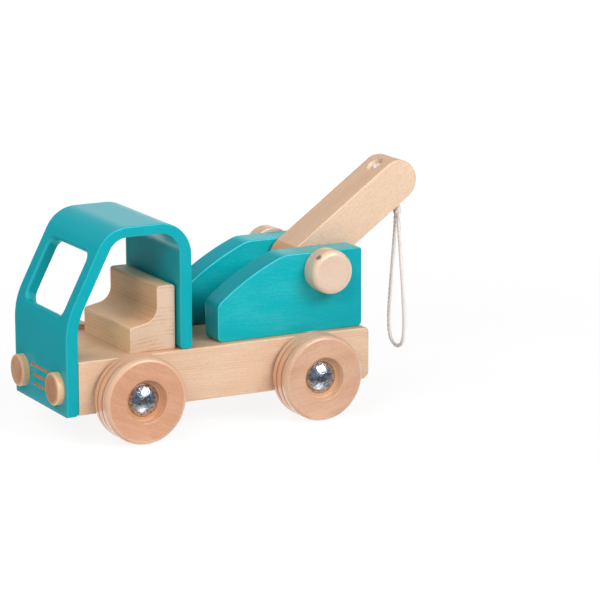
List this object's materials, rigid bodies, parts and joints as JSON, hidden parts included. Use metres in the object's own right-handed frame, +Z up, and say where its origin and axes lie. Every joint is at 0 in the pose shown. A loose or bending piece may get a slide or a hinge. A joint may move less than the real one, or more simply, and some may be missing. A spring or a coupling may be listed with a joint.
{
  "type": "wooden toy tow truck",
  "caption": "Wooden toy tow truck with an open bent cab, a seat, turned wheels, and a raised boom on a pin between side plates, with a cord loop at its tip.",
  "frame": {"origin": "on the ground under the middle of the whole toy", "axes": "+X forward, +Y to the toy's left, +Z up"},
  "size_m": [0.2411, 0.1122, 0.1391],
  "materials": {
    "beech": "satin",
    "turned_beech": "satin",
    "teal_stain": "satin",
    "steel": "satin",
    "chrome": "polished",
    "cotton_cord": "matt"
  },
  "bodies": {
    "truck": {"chassis": "beech", "cab_shell": "teal_stain", "seat": "beech", "headlight_left": "beech", "headlight_right": "beech", "side_plate_left": "teal_stain", "side_plate_right": "teal_stain", "axle_front": "steel", "axle_rear": "steel", "cap_front_left": "chrome", "cap_front_right": "chrome", "cap_rear_left": "chrome", "cap_rear_right": "chrome"},
    "boom_arm": {"boom": "beech", "boom_pin": "beech", "knob_left": "beech", "knob_right": "beech", "tow_cord_knot": "cotton_cord"},
    "tow_loop": {"tow_cord_loop": "cotton_cord"},
    "wheel_front_left": {"wheel_front_left": "turned_beech"},
    "wheel_front_right": {"wheel_front_right": "turned_beech"},
    "wheel_rear_left": {"wheel_rear_left": "turned_beech"},
    "wheel_rear_right": {"wheel_rear_right": "turned_beech"}
  },
  "joints": [
    {"name": "wheel_front_left_spin", "type": "hinge", "parent": "truck", "child": "wheel_front_left", "pos_m": [0.0757, 0, 0.025], "axis": [0, 1, 0], "continuous": true},
    {"name": "wheel_front_right_spin", "type": "hinge", "parent": "truck", "child": "wheel_front_right", "pos_m": [0.0757, 0, 0.025], "axis": [0, 1, 0], "continuous": true},
    {"name": "wheel_rear_left_spin", "type": "hinge", "parent": "truck", "child": "wheel_rear_left", "pos_m": [-0.0362, 0, 0.025], "axis": [0, 1, 0], "continuous": true},
    {"name": "wheel_rear_right_spin", "type": "hinge", "parent": "truck", "child": "wheel_rear_right", "pos_m": [-0.0362, 0, 0.025], "axis": [0, 1, 0], "continuous": true},
    {"name": "boom_lift", "type": "hinge", "parent": "truck", "child": "boom_arm", "pos_m": [-0.0481, 0, 0.0837], "axis": [0, 1, 0], "range_deg": [-70, 44]},
    {"name": "tow_loop_swing", "type": "hinge", "parent": "boom_arm", "child": "tow_loop", "pos_m": [-0.11465, 0, 0.11443], "axis": [0, 1, 0], "range_deg": [-44, 70]}
  ],
  "couplings": [
    {"joint": "tow_loop_swing", "follows": "boom_lift", "ratio": -1}
  ]
}
